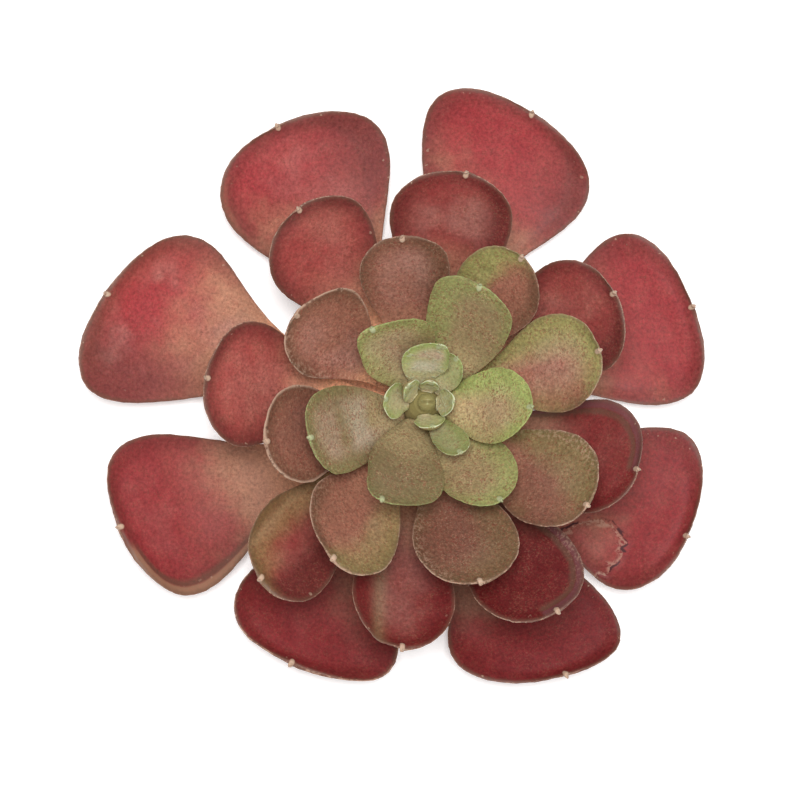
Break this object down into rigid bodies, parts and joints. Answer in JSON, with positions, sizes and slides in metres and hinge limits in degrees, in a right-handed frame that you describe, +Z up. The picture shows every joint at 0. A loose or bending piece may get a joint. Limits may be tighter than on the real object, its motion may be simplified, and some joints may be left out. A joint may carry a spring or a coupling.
{
  "type": "lipstick echeveria",
  "caption": "Cut succulent rosette of spoon-shaped, red-tipped leaves in rising whorls on a short stem stub; rests on its cut end.",
  "frame": {"origin": "centre of the stem's cut face, on the surface that the rosette rests on", "axes": "+Z up out of the rosette along the stem, +X to the right and +Y to the top of the picture"},
  "size_m": [0.1732, 0.1639, 0.0556],
  "materials": {
    "leaf_outer": "satin crimson leaf skin",
    "leaf_second": "satin red-brown leaf skin",
    "leaf_third": "satin brown-olive leaf skin",
    "leaf_fourth": "satin olive-green leaf skin",
    "leaf_heart": "satin pale green leaf skin",
    "stem_skin": "matt green-brown stem skin",
    "bud_skin": "satin green bud skin"
  },
  "bodies": {
    "root": {"leaf_outer_1": "leaf_outer", "leaf_outer_2": "leaf_outer", "leaf_outer_3": "leaf_outer", "leaf_outer_4": "leaf_outer", "leaf_outer_5": "leaf_outer", "leaf_outer_6": "leaf_outer", "leaf_outer_7": "leaf_outer", "leaf_outer_8": "leaf_outer", "leaf_second_1": "leaf_second", "leaf_second_2": "leaf_second", "leaf_second_3": "leaf_second", "leaf_second_4": "leaf_second", "leaf_second_5": "leaf_second", "leaf_second_6": "leaf_second", "leaf_second_7": "leaf_second", "leaf_second_8": "leaf_second", "leaf_third_1": "leaf_third", "leaf_third_2": "leaf_third", "leaf_third_3": "leaf_third", "leaf_third_4": "leaf_third", "leaf_third_5": "leaf_third", "leaf_third_6": "leaf_third", "leaf_third_7": "leaf_third", "leaf_third_8": "leaf_third", "leaf_fourth_1": "leaf_fourth", "leaf_fourth_2": "leaf_fourth", "leaf_fourth_3": "leaf_fourth", "leaf_fourth_4": "leaf_fourth", "leaf_fourth_5": "leaf_fourth", "leaf_fourth_6": "leaf_fourth", "leaf_heart_1": "leaf_heart", "leaf_heart_2": "leaf_heart", "leaf_heart_3": "leaf_heart", "leaf_heart_4": "leaf_heart", "leaf_heart_5": "leaf_heart", "leaf_heart_6": "leaf_heart", "leaf_heart_7": "leaf_heart", "leaf_heart_8": "leaf_heart", "stem": "stem_skin", "bud": "bud_skin"}
  },
  "joints": []
}
